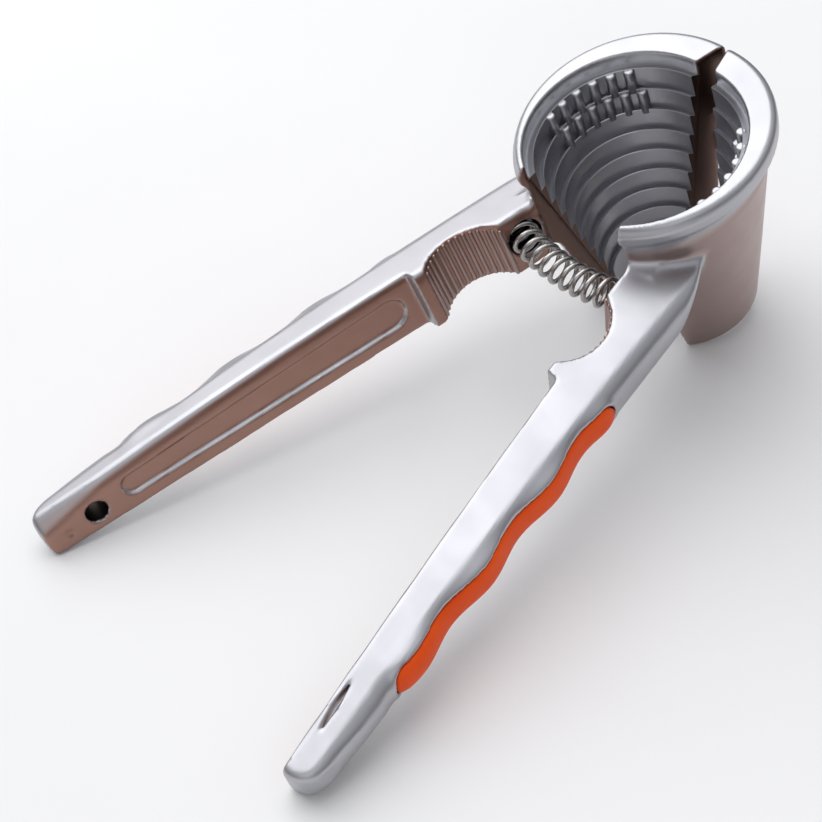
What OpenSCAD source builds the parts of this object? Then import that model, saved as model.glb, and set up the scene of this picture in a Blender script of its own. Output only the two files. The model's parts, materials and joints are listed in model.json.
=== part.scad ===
// Hinged nutcracker pliers with a split funnel, in millimetres.
// The two levers stand open on a table: the funnel's foot and both handle tips touch z = 0.
// The funnel frame has the funnel's axis along Z, the hinge at +Y and the handles towards -Y.

/* [Funnel] */
// Outer radius of the rim
rim_radius = 25; // [22:0.5:30]
// Height of the rim above the foot
rim_height = 53; // [45:0.5:60]
// Height of the rounded lip
lip_height = 5; // [3:0.1:8]
// Rounding of the lip's outer edges
lip_round = 1.5; // [0.5:0.1:2.4]
// Outer radius of the wall right under the lip
wall_radius = 23.2; // [21:0.1:25]
// Chamfer around the foot
foot_chamfer = 0.6; // [0.2:0.1:1]
// Outer radius of the foot
foot_radius = 14.6; // [13:0.1:18]
// Each half's round lies this far out from the middle plane
half_shift = 1.2; // [0:0.1:2]
// Each half's round lies this far towards the handles
front_shift = 0.6; // [0:0.1:2]
// Thickness of the web in front of the wall, along the cut face
web_thickness = 4; // [2:0.1:6]
// From the web's front edge to the spring's middle line
web_to_spring = 4.9; // [4.5:0.1:8]

/* [Cavity] */
// Radius of the mouth
mouth_radius = 20.8; // [18:0.1:22]
// The cavity lies this much further out than the outer round
cavity_out = 0.7; // [0:0.1:2]
// The cavity lies this much further forward than the outer round
cavity_forward = 2.6; // [0:0.1:4]
// Depth of the first ledge under the rim
first_ledge = 3.6; // [2:0.1:6]
// Width of the first ledge
first_ledge_width = 1.6; // [0.5:0.1:2.5]
// Height of each step under the first ledge
step_pitch = 5; // [3:0.1:7]
// Width of each step
step_width = 1.05; // [0.5:0.05:1.5]
// Number of steps under the first ledge
step_count = 8; // [4:1:9]
// How far each ridge's inner edge stands up
ridge_rise = 0.7; // [0:0.1:1.2]

/* [Teeth] */
// Teeth in each row
tooth_count = 6; // [3:1:8]
// Rows of teeth
tooth_rows = 2; // [1:1:3]
// Angle of the first tooth from the side, towards the handles
tooth_first = -11; // [-30:1:10]
// Angle between teeth
tooth_turn = 11.5; // [8:0.5:15]
// Radius of a tooth
tooth_radius = 1.15; // [0.6:0.05:1.6]

/* [Hinge] */
// Distance from the funnel's axis to the hinge axis
pivot_y = 25; // [24:0.1:28]
// Radius of the knuckles
knuckle_radius = 4; // [3:0.1:5]
// Height of each knuckle
knuckle_height = 4.8; // [3:0.1:7]
// Gap between neighbouring knuckles
knuckle_gap = 0.5; // [0.3:0.05:1]
// Lowest point of the knuckles
knuckle_floor = 26.5; // [20:0.5:30]
// Radius of the pin
pin_radius = 2; // [1:0.05:2.5]
// Play between the pin and the turning knuckle
pin_play = 0.05; // [0.02:0.01:0.1]
// How far each end of the pin stands out
pin_proud = 0.6; // [0.2:0.1:1.5]
// Gap between a knuckle and the other lever's wall
knuckle_relief = 0.5; // [0.3:0.1:1]
// Angle from the middle plane to each half's cut face
cut_angle = 15.25; // [10:0.25:20]
// Each cut face stays this far from the hinge axis
cut_gap = 0.25; // [0.15:0.05:0.6]

/* [Handle] */
// Angle from the middle plane to each handle's inner face
open_angle = 12.9; // [8:0.1:20]
// Distance from the hinge axis to the tip
handle_reach = 166.7; // [140:0.1:190]
// Distance from the hinge axis to the handle's root, inside the funnel's wall
root_reach = 45; // [43:0.5:50]
// Distance from the hinge axis to the shoulder where the inner face starts
shoulder_reach = 48.2; // [47:0.1:50]
// Width of the handle where it leaves the funnel
root_width = 16.5; // [13:0.1:18]
// Width lost along each millimetre of handle
width_loss = 0.06; // [0.04:0.001:0.1]
// Radius of the crown along the top
crown_radius = 800; // [300:10:900]
// Distance from the hinge axis to the highest point of the crown
crown_reach = 125; // [100:1:140]
// Height of the crown above the foot
crown_top = 45.3; // [40:0.1:50]
// Height of the underside at the root
under_root = 28.3; // [24:0.1:32]
// Rise of the underside along each millimetre of handle
under_rise = 0.0535; // [0.02:0.001:0.1]
// Roundover of the upper outer edge
edge_round = 9; // [7:0.1:12]
// Roundover of the lower outer edge
under_round = 7.2; // [7:0.1:12]
// Radius of the tip seen from above
tip_radius = 6; // [4:0.1:8]
// Width lost right before that radius
tip_narrowing = 2.2; // [0.5:0.1:2.5]
// Radius of the tip's upper and lower corner seen from the side
tip_side_radius = 2.6; // [1.5:0.1:4]
// Width of the handle's plan inside the funnel's wall
neck_width = 9; // [7:0.1:12]
// Distance from the hinge axis to the end of that narrowing
neck_reach = 59; // [54:0.5:64]

/* [Inner face] */
// Lean of the inner face, outwards to the top
face_lean = 11.5; // [2:0.5:14]
// Distance from the hinge axis to the middle of the finger hollow
hollow_reach = 65.7; // [60:0.1:70]
// Radius of the finger hollow
hollow_radius = 10.3; // [8:0.1:13]
// Its centre lies this far inside the inner face
hollow_inset = 6.2; // [3:0.1:8]
// Grip ribs in the finger hollow
rib_count = 14; // [8:1:18]
// Radius of a rib
rib_radius = 0.55; // [0.3:0.05:0.8]
// Distance from the hinge axis to the end of the stop pad
pad_end = 77.3; // [75:0.1:80]
// How far the stop pad stands in front of the shoulder
pad_rise = 1.4; // [0:0.1:1.5]
// Setback of the long face at the stop pad
face_setback = 1; // [0.5:0.1:2.5]
// Setback of the long face at the tip, at the height of the root's underside
tip_setback = -1.4; // [-1.6:0.05:0.5]
// Start of the long shallow pocket
pocket_start = 81; // [79:0.5:90]
// Distance from the tip to the end of the long shallow pocket
pocket_inset = 18.7; // [16:0.1:36]
// Half height of the pocket at its start
pocket_half_start = 3.5; // [2:0.1:5]
// Half height of the pocket at its end
pocket_half_end = 2.3; // [1.5:0.1:4]
// Depth of the pocket
pocket_depth = 0.8; // [0.3:0.1:1.5]

/* [Hanging hole] */
// Distance from the tip to the hole
hole_inset = 12.1; // [9:0.1:16]
// Height of the hole above the foot
hole_height = 38.5; // [37:0.1:40]
// Radius of the hole
hole_radius = 2.3; // [1.5:0.1:2.6]
// Distance from the tip to the small dimple
dimple_inset = 5.5; // [4:0.1:8]
// Radius of the dimple
dimple_radius = 1.5; // [0.5:0.1:2]
// Distance from the tip to the nick on the other lever's top edge
nick_inset = 10.2; // [8:0.1:16]
// Length of that nick
nick_length = 9.5; // [6:0.5:12]

/* [Grip] */
// Start of the grip, along the handle's outer line from its root
grip_start = 31; // [28:0.5:36]
// End of the grip
grip_end = 98.8; // [75:0.1:105]
// Half the height of the grip
grip_half = 3.6; // [2:0.1:4]
// The grip's middle lies this far under the handle's middle at its start
grip_drop_start = 1; // [0:0.1:1.5]
// The same at its end
grip_drop_end = 0.3; // [0:0.1:0.5]
// Depth of the grip's seat under the handle's outer line
grip_depth = 3.2; // [2:0.1:4]
// Height of the waves on the grip
wave_height = 0.75; // [0:0.05:1.5]
// Length of one wave
wave_length = 20.65; // [15:0.05:30]
// Position of the first hollow
wave_hollow = 41.1; // [35:0.1:50]
// How far the grip stands out of the handle
grip_proud = 0.4; // [0:0.05:1]
// Gap around the grip
grip_gap = 0.15; // [0.05:0.01:0.3]
// Stations along the grip
grip_stations = 56; // [20:1:80]
// Points across the grip
grip_points = 14; // [8:1:20]

/* [Spring] */
// Distance from the hinge axis to the spring
spring_reach = 52.8; // [50:0.1:56]
// Height of the spring above the foot
spring_height = 35.8; // [32:0.1:38]
// Radius to the middle of the wire
coil_radius = 3; // [2:0.05:4]
// Radius of the wire
wire_radius = 0.55; // [0.3:0.01:0.6]
// Turns of the spring
coil_turns = 13; // [8:1:20]
// Depth of each seat
seat_depth = 7; // [3:0.1:9]
// Radius of each seat
seat_radius = 3.85; // [3:0.05:4.5]
// Gap left between the spring and each seat's floor
seat_gap = 0.3; // [0.1:0.05:0.5]

/* [Hidden] */
$fn = 96;
// Straight sides of the wire and rings in one turn
wire_sides = 6;
turn_rings = 8;
// Large size for cutting blocks
big = 200;
knuckle_step = knuckle_height + knuckle_gap;
knuckle_top = knuckle_floor + 2 * knuckle_step + knuckle_height;
// Angle between the outer line of the handle and its inner face
taper = atan(width_loss);
pitch = atan(under_rise);
hole_reach = handle_reach - hole_inset;
dimple_reach = handle_reach - dimple_inset;
pocket_end = handle_reach - pocket_inset;
// Heights and widths along the handle, at a distance s from the hinge axis
function outer(s) = root_width - width_loss * (s - root_reach);
function top(s) = crown_top - crown_radius
    + sqrt(crown_radius * crown_radius - (s - crown_reach) * (s - crown_reach));
function under(s) = under_root + under_rise * (s - root_reach);
// Inner face at a distance s, before it leans, and at a height z with its lean
function face(s) = tip_setback + (face_setback - tip_setback) * (tip_end - s) / (tip_end - pad_end - 0.8);
function leant_face(s, z) = face(s) / cos(face_lean) + tan(face_lean) * (z - under_root);
// The same heights at a distance t along the handle's outer line from its root
function line_top(t) = top(t + root_reach);
function line_under(t) = under(t + root_reach);
function line_middle(t) = (line_top(t) + line_under(t)) / 2;
// Outer face of the handle at a height z, measured from its outer line
function rounded(d, r) = let (in = max(0, r - d)) sqrt(max(0, r * r - in * in)) - r;
function skin(t, z) = min(rounded(line_top(t) - z, edge_round), rounded(z - line_under(t), under_round));
// Waves along the grip, from -1 in a hollow to 1 on a crest, fading in at its start
function wave(t) = -cos(360 * (t - wave_hollow) / wave_length) * max(0, min(1, (t - grip_start) / 7));
// Centres of the grip's round ends, its middle line and its half height
grip_first = grip_start + grip_half;
grip_last = grip_end - grip_half;
grip_from = line_middle(grip_first) - grip_drop_start;
grip_to = line_middle(grip_last) - grip_drop_end;
function grip_middle(t) = grip_from + (grip_to - grip_from) * (t - grip_first) / (grip_last - grip_first);
function grip_height(t, r) = let (d = max(0, grip_first - t, t - grip_last))
    sqrt(max(0, r * r - d * d));
// The spring runs on an arc about the hinge, so its straight seats lie in the middle of that arc's bow
seat_reach = spring_reach - seat_depth * seat_depth / spring_reach / 4;
// Cut line of the half funnel, seen in the handle's frame
cut_slope = tan(cut_angle - open_angle);
// The tip's plan runs a little past its side view, so the two roundings cross cleanly
tip_end = handle_reach + 0.6;
tip_centre = tip_end - tip_radius;
// The tip's corners run a little past the top and the underside
tip_past = 0.35;
tip_low = under(handle_reach) - tip_past + tip_side_radius;
tip_high = top(handle_reach) + tip_past - tip_side_radius;
tip_middle = (tip_low + tip_high) / 2 - 0.91;
// The tilt puts the front of the foot and the inner corners of the tips on one plane
cut_offset = (pivot_y + front_shift) * sin(cut_angle) - half_shift * cos(cut_angle) + cut_gap;
foot_rest = foot_radius - foot_chamfer;
foot_front = front_shift - cut_offset * sin(cut_angle)
    + sqrt(foot_rest * foot_rest - cut_offset * cut_offset) * cos(cut_angle);
tip_drop = tip_side_radius - tip_past;
tip_rest_reach = handle_reach - tip_side_radius
    + sqrt(tip_side_radius * tip_side_radius - tip_drop * tip_drop);
tip_rest_u = leant_face(tip_rest_reach, under(tip_rest_reach));
tip_rest_y = tip_rest_reach * cos(open_angle) - pivot_y - tip_rest_u * sin(open_angle);
tip_rest_in = max(0, under_round - outer(tip_rest_reach) + tip_rest_u);
tip_rest_z = under(tip_rest_reach) + under_round
    - sqrt(under_round * under_round - tip_rest_in * tip_rest_in);
tilt = atan(tip_rest_z / (tip_rest_y - foot_front));
floor_shift = foot_front * sin(tilt);
// Middle of the length of the tilted part
back_end = (pivot_y + knuckle_radius) * cos(tilt) - knuckle_floor * sin(tilt);
// Foremost point of the tip's upper corner, seen from the side
front_turn = 13.4;
front_height = tip_high + tip_side_radius * sin(front_turn);
front_reach = handle_reach - tip_side_radius * (1 - cos(front_turn));
front_end = -(front_reach * cos(open_angle) - pivot_y
    - leant_face(front_reach, front_height) * sin(open_angle)) * cos(tilt) - front_height * sin(tilt);
length_shift = -(back_end + front_end) / 2;

// From the funnel frame to the part's frame
module lay() {
    translate([0, length_shift, floor_shift])
        rotate([tilt, 0, 0])
            children();
}

// From the handle frame to the funnel frame: u across, -s along
module on_handle() {
    translate([0, pivot_y, 0])
        rotate([0, 0, open_angle])
            children();
}

// The handle's outer line, with its own Y axis along it
module on_outer_line() {
    translate([root_width, -root_reach, 0])
        rotate([0, 0, -taper])
            children();
}

module funnel_profile() {
    lip_foot = rim_height - lip_height;
    difference() {
        union() {
            polygon([[0, 0], [foot_radius - foot_chamfer, 0], [foot_radius, foot_chamfer],
                [wall_radius, lip_foot - 1], [rim_radius - lip_round, lip_foot],
                [rim_radius, lip_foot + lip_round],
                [rim_radius, rim_height - lip_round], [rim_radius - lip_round, rim_height],
                [0, rim_height]]);
            translate([rim_radius - lip_round, rim_height - lip_round])
                circle(lip_round);
            translate([rim_radius - lip_round, lip_foot + lip_round])
                circle(lip_round);
        }
        // Shallow band under the lip
        translate([wall_radius + 2.2, lip_foot - 2.2])
            circle(2.7);
    }
}

function ledge_z(i) = rim_height - first_ledge - step_pitch * i;
function ledge_r(i) = mouth_radius - first_ledge_width - step_width * i;

module cavity_profile() {
    steps = [for (i = [0 : step_count]) each [
        [i == 0 ? mouth_radius : ledge_r(i - 1), ledge_z(i)],
        [ledge_r(i), ledge_z(i) + ridge_rise]]];
    polygon(concat([[0, rim_height + 1], [mouth_radius + 0.4, rim_height + 1],
        [mouth_radius + 0.4, rim_height], [mouth_radius, rim_height - 0.4]],
        steps, [[ledge_r(step_count), -1], [0, -1]]));
}

module at_cavity() {
    translate([half_shift + cavity_out, -front_shift - cavity_forward, 0])
        children();
}

// Bars on the walls under the first ledges
module teeth() {
    at_cavity()
        for (row = [0 : tooth_rows - 1])
            for (i = [0 : tooth_count - 1])
                rotate([0, 0, tooth_first + tooth_turn * (i + row * 0.5)])
                    translate([ledge_r(row) - 0.15, 0, ledge_z(row + 1) - 0.5])
                        cylinder(r = tooth_radius, h = step_pitch + ridge_rise + 0.4);
}

// Everything on the other lever's side of the cut face
module beyond_cut() {
    translate([0, pivot_y, -10])
        rotate([0, 0, cut_angle])
            translate([-big + cut_gap, -big / 2, 0])
                cube([big, big, big]);
}

module knuckle(level, web) {
    z = knuckle_floor + level * knuckle_step;
    translate([0, pivot_y, z])
        cylinder(r = knuckle_radius, h = knuckle_height);
    difference() {
        translate([0, 0, z])
            linear_extrude(knuckle_height)
                polygon([[0, pivot_y], [knuckle_radius, pivot_y], [11, web - 6], [7, web - 9],
                    [1.5, pivot_y - 6]]);
        beyond_cut();
    }
}

// Room for the other lever's knuckle at a level
module knuckle_room(level) {
    translate([0, pivot_y, knuckle_floor + level * knuckle_step - knuckle_gap])
        cylinder(r = knuckle_radius + knuckle_relief, h = knuckle_height + 2 * knuckle_gap);
}

// Leans the inner face out to the top, about the height of the root's underside
module leaning() {
    translate([0, 0, under_root])
        rotate([0, face_lean, 0])
            translate([0, 0, -under_root])
                children();
}

// Plan of the handle in its own frame, before it leans.
// It runs past the outer line, which the rounded bars shape
module handle_plan() {
    past = (outer(tip_centre) + 0.5 - tip_narrowing) * cos(face_lean)
        - (tip_middle - under_root) * sin(face_lean);
    buried = root_reach - 5;
    notch = shoulder_reach - 0.6;
    difference() {
        union() {
            polygon([[cut_slope * buried + 0.3, -buried], [cut_slope * notch + 0.3, -notch],
                [0, -shoulder_reach],
                [-pad_rise, -pad_end], [face_setback, -pad_end - 0.8],
                [tip_setback, -tip_end], [past - tip_radius, -tip_end],
                [past - tip_radius, -tip_centre], [past, -tip_centre],
                [past + tip_narrowing + 0.3, 10 - tip_centre],
                [outer(neck_reach) + 0.8, -neck_reach], [neck_width, -buried]]);
            // Outer quarter of the tip's round
            intersection() {
                translate([past - tip_radius, -tip_centre])
                    circle(tip_radius);
                translate([past - tip_radius - 0.5, -tip_end - 1])
                    square([tip_radius + 2, tip_radius + 1.5]);
            }
        }
        translate([-hollow_inset, -hollow_reach])
            circle(hollow_radius);
    }
    // Ribs of the finger hollow
    for (i = [0 : rib_count - 1])
        rotate_about_hollow((i - (rib_count - 1) / 2) * 110 / (rib_count - 1))
            circle(rib_radius, $fn = 24);
}

module rotate_about_hollow(angle) {
    translate([-hollow_inset, -hollow_reach])
        rotate([0, 0, angle])
            translate([hollow_radius, 0])
                children();
}

// Space under the crowned top, with its outer edge rounded
module crown_bar() {
    on_outer_line()
        translate([0, root_reach - crown_reach, crown_top - crown_radius])
            rotate([0, 90, 0])
                rotate_extrude($fn = 180)
                    difference() {
                        translate([crown_radius - 40, -40])
                            square([40, 40]);
                        difference() {
                            translate([crown_radius - edge_round, -edge_round])
                                square([edge_round + 1, edge_round + 1]);
                            translate([crown_radius - edge_round, -edge_round])
                                circle(edge_round);
                        }
                    }
}

// Space above the underside, with its outer edge rounded
module under_bar() {
    on_outer_line()
        translate([0, 0, under_root])
            rotate([-pitch, 0, 0])
                translate([0, 20, 0])
                    rotate([90, 0, 0])
                        linear_extrude(handle_reach)
                            difference() {
                                translate([-40, 0])
                                    square([40, 40]);
                                difference() {
                                    translate([-under_round, -1])
                                        square([under_round + 1, under_round + 1]);
                                    translate([-under_round, under_round])
                                        circle(under_round);
                                }
                            }
}

// Side view of the handle with its rounded tip
module side_bar() {
    end = handle_reach - tip_side_radius;
    rotate([90, 0, 90])
        translate([0, 0, -10])
            linear_extrude(40)
                union() {
                    translate([-end, 20])
                        square([end, 40]);
                    translate([-handle_reach, tip_low])
                        square([handle_reach, tip_high - tip_low]);
                    for (z = [tip_low, tip_high])
                        translate([-end, z])
                            circle(tip_side_radius);
                }
}

// Seat of the grip: a slot with round ends, sunk into the outer side
module grip_seat() {
    first = [for (i = [0 : 12]) let (angle = -90 + 15 * i)
        [grip_half * cos(angle) - grip_first, grip_middle(grip_first) + grip_half * sin(angle)]];
    last = [for (i = [0 : 12]) let (angle = 90 + 15 * i)
        [grip_half * cos(angle) - grip_last, grip_middle(grip_last) + grip_half * sin(angle)]];
    on_outer_line()
        rotate([90, 0, 90])
            translate([0, 0, -grip_depth])
                linear_extrude(grip_depth + 5)
                    polygon(concat(first, last));
}

// Long shallow pocket of the inner face, seen from the side
module pocket_outline() {
    a = pocket_start + pocket_half_start;
    b = pocket_end - pocket_half_end;
    za = (top(a) + under(a)) / 2;
    zb = (top(b) + under(b)) / 2;
    polygon([[-a, za - pocket_half_start], [-a, za + pocket_half_start],
        [-b, zb + pocket_half_end], [-b, zb - pocket_half_end]]);
    translate([-a, za])
        circle(pocket_half_start);
    translate([-b, zb])
        circle(pocket_half_end);
}

module inner_pocket() {
    slope = atan((face_setback - tip_setback) / (tip_centre - pad_end));
    translate([face_setback, -pad_end, 0])
        rotate([0, 0, -slope])
            translate([0, pad_end, 0])
                rotate([90, 0, 90])
                    translate([0, 0, -3])
                        linear_extrude(3 + pocket_depth)
                            pocket_outline();
}

// Hole along u at a distance s and a height z
module cross_hole(s, z, r, from, to) {
    translate([from, -s, z])
        rotate([0, 90, 0])
            cylinder(r = r, h = to - from);
}

module handle() {
    difference() {
        intersection() {
            leaning()
                translate([0, 0, 20])
                    linear_extrude(40)
                        handle_plan();
            crown_bar();
            under_bar();
            side_bar();
        }
        grip_seat();
        leaning()
            inner_pocket();
        cross_hole(seat_reach, spring_height, seat_radius, -2, seat_depth);
    }
}

// Web that thickens the front of the wall along the cut face, down to the foot
module front_web() {
    behind = 11 - root_reach;
    front = web_to_spring - spring_reach;
    band = rim_height - lip_height - 2.5;
    on_handle()
        rotate([90, 0, 90])
            translate([0, 0, -1])
                linear_extrude(cut_slope * root_reach + web_thickness + 1)
                    polygon([[behind, 1], [front + 7.5, 1], [front + 0.8, under_root + 4.7],
                        [front, band], [behind, band]]);
}

// Half funnel and handle in one casting, without its knuckles
module casting() {
    difference() {
        union() {
            difference() {
                union() {
                    translate([half_shift, -front_shift, 0])
                        rotate_extrude()
                            funnel_profile();
                    front_web();
                }
                beyond_cut();
            }
            on_handle()
                handle();
        }
        at_cavity()
            rotate_extrude()
                cavity_profile();
    }
    teeth();
}

module left_lever() {
    color([0.78, 0.78, 0.8])
        lay()
            mirror([1, 0, 0])
                difference() {
                    union() {
                        difference() {
                            casting();
                            knuckle_room(1);
                        }
                        knuckle(0, 22);
                        knuckle(2, 24);
                    }
                    translate([0, pivot_y, 0])
                        cylinder(r = pin_radius, h = knuckle_top + 1);
                    on_handle() {
                        cross_hole(hole_reach, hole_height, hole_radius, -2, 20);
                        leaning()
                            translate([face(dimple_reach) - dimple_radius + 0.4, -dimple_reach,
                                hole_height - 0.6])
                                sphere(dimple_radius);
                    }
                }
}

module right_lever() {
    nick_half = nick_length / 2;
    nick_radius = 15;
    nick_middle = handle_reach - nick_inset - nick_half;
    color([0.78, 0.78, 0.8])
        lay()
            difference() {
                union() {
                    difference() {
                        casting();
                        knuckle_room(0);
                        knuckle_room(2);
                    }
                    knuckle(1, 23);
                }
                translate([0, pivot_y, 0])
                    cylinder(r = pin_radius + pin_play, h = knuckle_top + 1);
                on_handle()
                    leaning()
                        translate([face(nick_middle) + 0.05
                            - sqrt(nick_radius * nick_radius - nick_half * nick_half),
                            -nick_middle, top(nick_middle) - 1])
                            cylinder(r = nick_radius, h = 10);
            }
}

module hinge_pin() {
    color([0.6, 0.6, 0.62])
        lay()
            translate([0, pivot_y, knuckle_floor - pin_proud])
                rotate_extrude()
                    polygon([[0, 0], [pin_radius - 0.35, 0], [pin_radius, 0.35],
                        [pin_radius, knuckle_top - knuckle_floor + 2 * pin_proud - 0.35],
                        [pin_radius - 0.35, knuckle_top - knuckle_floor + 2 * pin_proud],
                        [0, knuckle_top - knuckle_floor + 2 * pin_proud]]);
}

// Cross section of the grip at a distance t: its flat back, then a front that follows the handle's round
function grip_ring(t) = let (
    half = max(0.35, grip_height(t, grip_half - grip_gap)),
    back = grip_gap - grip_depth,
    share = min(1, half / (grip_half - grip_gap)),
    swell = (wave_height * wave(t) + grip_proud) * share)
    concat([[back, -t, grip_middle(t) - half]],
        [for (k = [0 : grip_points - 3]) let (
            v = -cos(180 * k / (grip_points - 3)),
            z = grip_middle(t) + half * v)
            [skin(t, z) + swell * (1 - 0.7 * v * v * v * v), -t, z]],
        [[back, -t, grip_middle(t) + half]]);

module grip() {
    from = grip_start + grip_gap + 0.02;
    length = grip_end - grip_start - 2 * grip_gap - 0.04;
    stations = [for (i = [0 : grip_stations]) let (
        f = (1 - cos(180 * i / grip_stations)) / 2)
        from + length * (0.55 * f + 0.45 * i / grip_stations)];
    points = [for (t = stations) each grip_ring(t)];
    n = grip_points;
    sides = [for (i = [0 : grip_stations - 1]) for (k = [0 : n - 1])
        let (a = i * n + k, b = i * n + (k + 1) % n, c = a + n, d = b + n)
        each [[a, b, d], [a, d, c]]];
    first = [for (k = [1 : n - 2]) [0, k + 1, k]];
    last = [for (k = [1 : n - 2]) let (o = grip_stations * n) [o, o + k, o + k + 1]];
    on_handle()
        on_outer_line()
            polyhedron(points, concat(sides, first, last));
}

module left_grip() {
    color([0.87, 0.31, 0.08])
        lay()
            mirror([1, 0, 0])
                grip();
}

module right_grip() {
    color([0.87, 0.31, 0.08])
        lay()
            grip();
}

// Middle line of the wire: a helix around an arc about the hinge, from seat to seat
spring_turn = open_angle + (seat_depth - seat_gap - wire_radius) / spring_reach * 180 / PI;
function wire_point(f) = let (
    turn = 360 * coil_turns * f,
    arc = spring_turn * (2 * f - 1),
    r = spring_reach + coil_radius * cos(turn),
    z = spring_height + coil_radius * sin(turn))
    [r * sin(arc), pivot_y - r * cos(arc), z];
wire_rings = coil_turns * turn_rings;
wire_line = [for (i = [0 : wire_rings]) wire_point(i / wire_rings)];
function unit(v) = v / norm(v);
function along(i) = unit(wire_line[min(i + 1, wire_rings)] - wire_line[max(i - 1, 0)]);
function wire_ring(i) = let (
    f = i / wire_rings,
    arc = spring_turn * (2 * f - 1),
    hub = [spring_reach * sin(arc), pivot_y - spring_reach * cos(arc), spring_height],
    t = along(i),
    out = unit((wire_line[i] - hub) - ((wire_line[i] - hub) * t) * t),
    side = cross(t, out))
    [for (k = [0 : wire_sides - 1]) wire_line[i]
        + wire_radius * (cos(60 * k) * out + sin(60 * k) * side)];

module return_spring() {
    points = [for (i = [0 : wire_rings]) each wire_ring(i)];
    n = wire_sides;
    sides = [for (i = [0 : wire_rings - 1]) for (k = [0 : n - 1])
        let (a = i * n + k, b = i * n + (k + 1) % n, c = a + n, d = b + n)
        each [[a, d, b], [a, c, d]]];
    first = [for (k = [1 : n - 2]) [0, k, k + 1]];
    last = [for (k = [1 : n - 2]) let (o = wire_rings * n) [o, o + k + 1, o + k]];
    color([0.66, 0.66, 0.68])
        lay()
            polyhedron(points, concat(sides, first, last));
}

// Least gap of the wire to itself, between points at least half a turn apart
spring_gap = min([for (i = [0 : wire_rings]) for (j = [i + turn_rings / 2 : wire_rings])
    norm(wire_line[i] - wire_line[j])]) - 2 * wire_radius;
echo(least_gap_of_the_spring = spring_gap);
echo(tilt = tilt, length_shift = length_shift, floor_shift = floor_shift);
echo(pivot = [0, length_shift + pivot_y * cos(tilt) - 35 * sin(tilt),
    floor_shift + pivot_y * sin(tilt) + 35 * cos(tilt)]);

left_lever();
right_lever();
hinge_pin();
return_spring();
left_grip();
right_grip();
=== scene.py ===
"""Looks of the hinged nutcracker pliers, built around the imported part.

Lengths are millimetres in the funnel's frame, as in the part's source: the funnel's axis along Z,
the hinge at +Y, the handles towards -Y and the right lever at +X. lay() takes them to the part's frame.
"""

import json
import math

import bpy
import numpy as np
from mathutils import Matrix, Vector


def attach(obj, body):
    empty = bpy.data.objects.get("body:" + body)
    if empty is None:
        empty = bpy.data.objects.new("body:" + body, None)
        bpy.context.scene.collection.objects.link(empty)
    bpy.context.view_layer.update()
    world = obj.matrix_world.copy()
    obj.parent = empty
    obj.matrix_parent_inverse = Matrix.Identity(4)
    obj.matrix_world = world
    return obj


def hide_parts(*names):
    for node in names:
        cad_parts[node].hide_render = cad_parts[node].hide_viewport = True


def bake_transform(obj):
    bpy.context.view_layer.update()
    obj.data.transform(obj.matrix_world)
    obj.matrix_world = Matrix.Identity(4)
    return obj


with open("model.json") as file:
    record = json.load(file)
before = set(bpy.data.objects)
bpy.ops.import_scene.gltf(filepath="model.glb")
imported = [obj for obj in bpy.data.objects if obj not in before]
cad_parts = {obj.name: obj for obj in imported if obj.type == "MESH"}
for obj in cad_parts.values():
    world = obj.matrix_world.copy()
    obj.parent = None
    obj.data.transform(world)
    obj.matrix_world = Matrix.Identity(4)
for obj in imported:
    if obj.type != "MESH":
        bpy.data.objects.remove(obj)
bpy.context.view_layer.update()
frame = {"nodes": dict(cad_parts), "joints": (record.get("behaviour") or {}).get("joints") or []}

# Funnel and its stepped cavity
RIM_R, RIM_Z, LIP_H, LIP_ROUND = 25.0, 53.0, 5.0, 1.5
WALL_R, FOOT_R, FOOT_Z, HALF_SHIFT, FRONT_SHIFT = 23.2, 14.6, 0.6, 1.2, 0.6
BAND_R, BAND_OUT = 2.7, 2.2
# The wall's upper part lies a little further forward than the lip
LEAD_FROM, LEAD_OVER, LEAD, LEAD_SWELL = 18, 28, 1.3, 0.6
CAVITY_X, CAVITY_Y, MOUTH_R = 1.9, -3.2, 20.8
LEDGE_Z, LEDGE_R, STEP_Z, STEP_R, STEPS, RIDGE = 49.4, 19.2, 5.0, 1.05, 8, 0.7
TOOTH_FIRST, TOOTH_TURN, TOOTH_R, TEETH, TOOTH_ROWS = -11.0, 11.5, 1.15, 6, 2
# Hinge
PIVOT_Y, PIN_R, KNUCKLE_R, KNUCKLE_H, KNUCKLE_GAP, KNUCKLE_Z = 25.0, 2.0, 4.0, 4.8, 0.5, 26.5
CUT_ANGLE, CUT_GAP, KNUCKLE_RELIEF = 15.25, 0.25, 0.5
# Handle
OPEN, REACH, ROOT, ROOT_W, LOSS = 12.9, 166.7, 45.0, 16.5, 0.06
CROWN_R, CROWN_REACH, CROWN_TOP, UNDER_ROOT, UNDER_RISE = 800.0, 125.0, 45.3, 28.3, 0.0535
EDGE, UNDER_EDGE, TIP_R, TIP_SIDE_R = 3.2, 7.2, 6.0, 2.6
# The flat top tilts outwards from a line along its inner edge
TOP_TILT, TOP_IN, TOP_IN_LOSS, HALF_SPAN = math.radians(14.5), 3.4, 0.0123, 44.0
# The neck narrows towards the funnel. NECK_EVEN makes its field about a distance
BURIED, NECK_W, NECK_REACH, NECK_OUT, NECK_LEAN, NECK_EVEN = 5, 9.0, 59.0, 0.8, 0.5, 0.86
# Web in front of the funnel's wall: its front at three heights
WEB, WEB_BACK, WEB_FOOT, WEB_TOP = 4.0, 11, 1.5, 39.5
WEB_AT = [1, UNDER_ROOT + 4.7, 45.5]
WEB_FRONT = [ROOT - 4.6, ROOT + 2.1, ROOT + 2.9]
# How far the inner face's upper edge is broken, along the handle
WORN_AT, WORN_BY, WORN_FLARE = [50, 78, 120, 151, REACH], [0.7, 1.0, 1.5, 1.9, 4.0], 0.8
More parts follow.
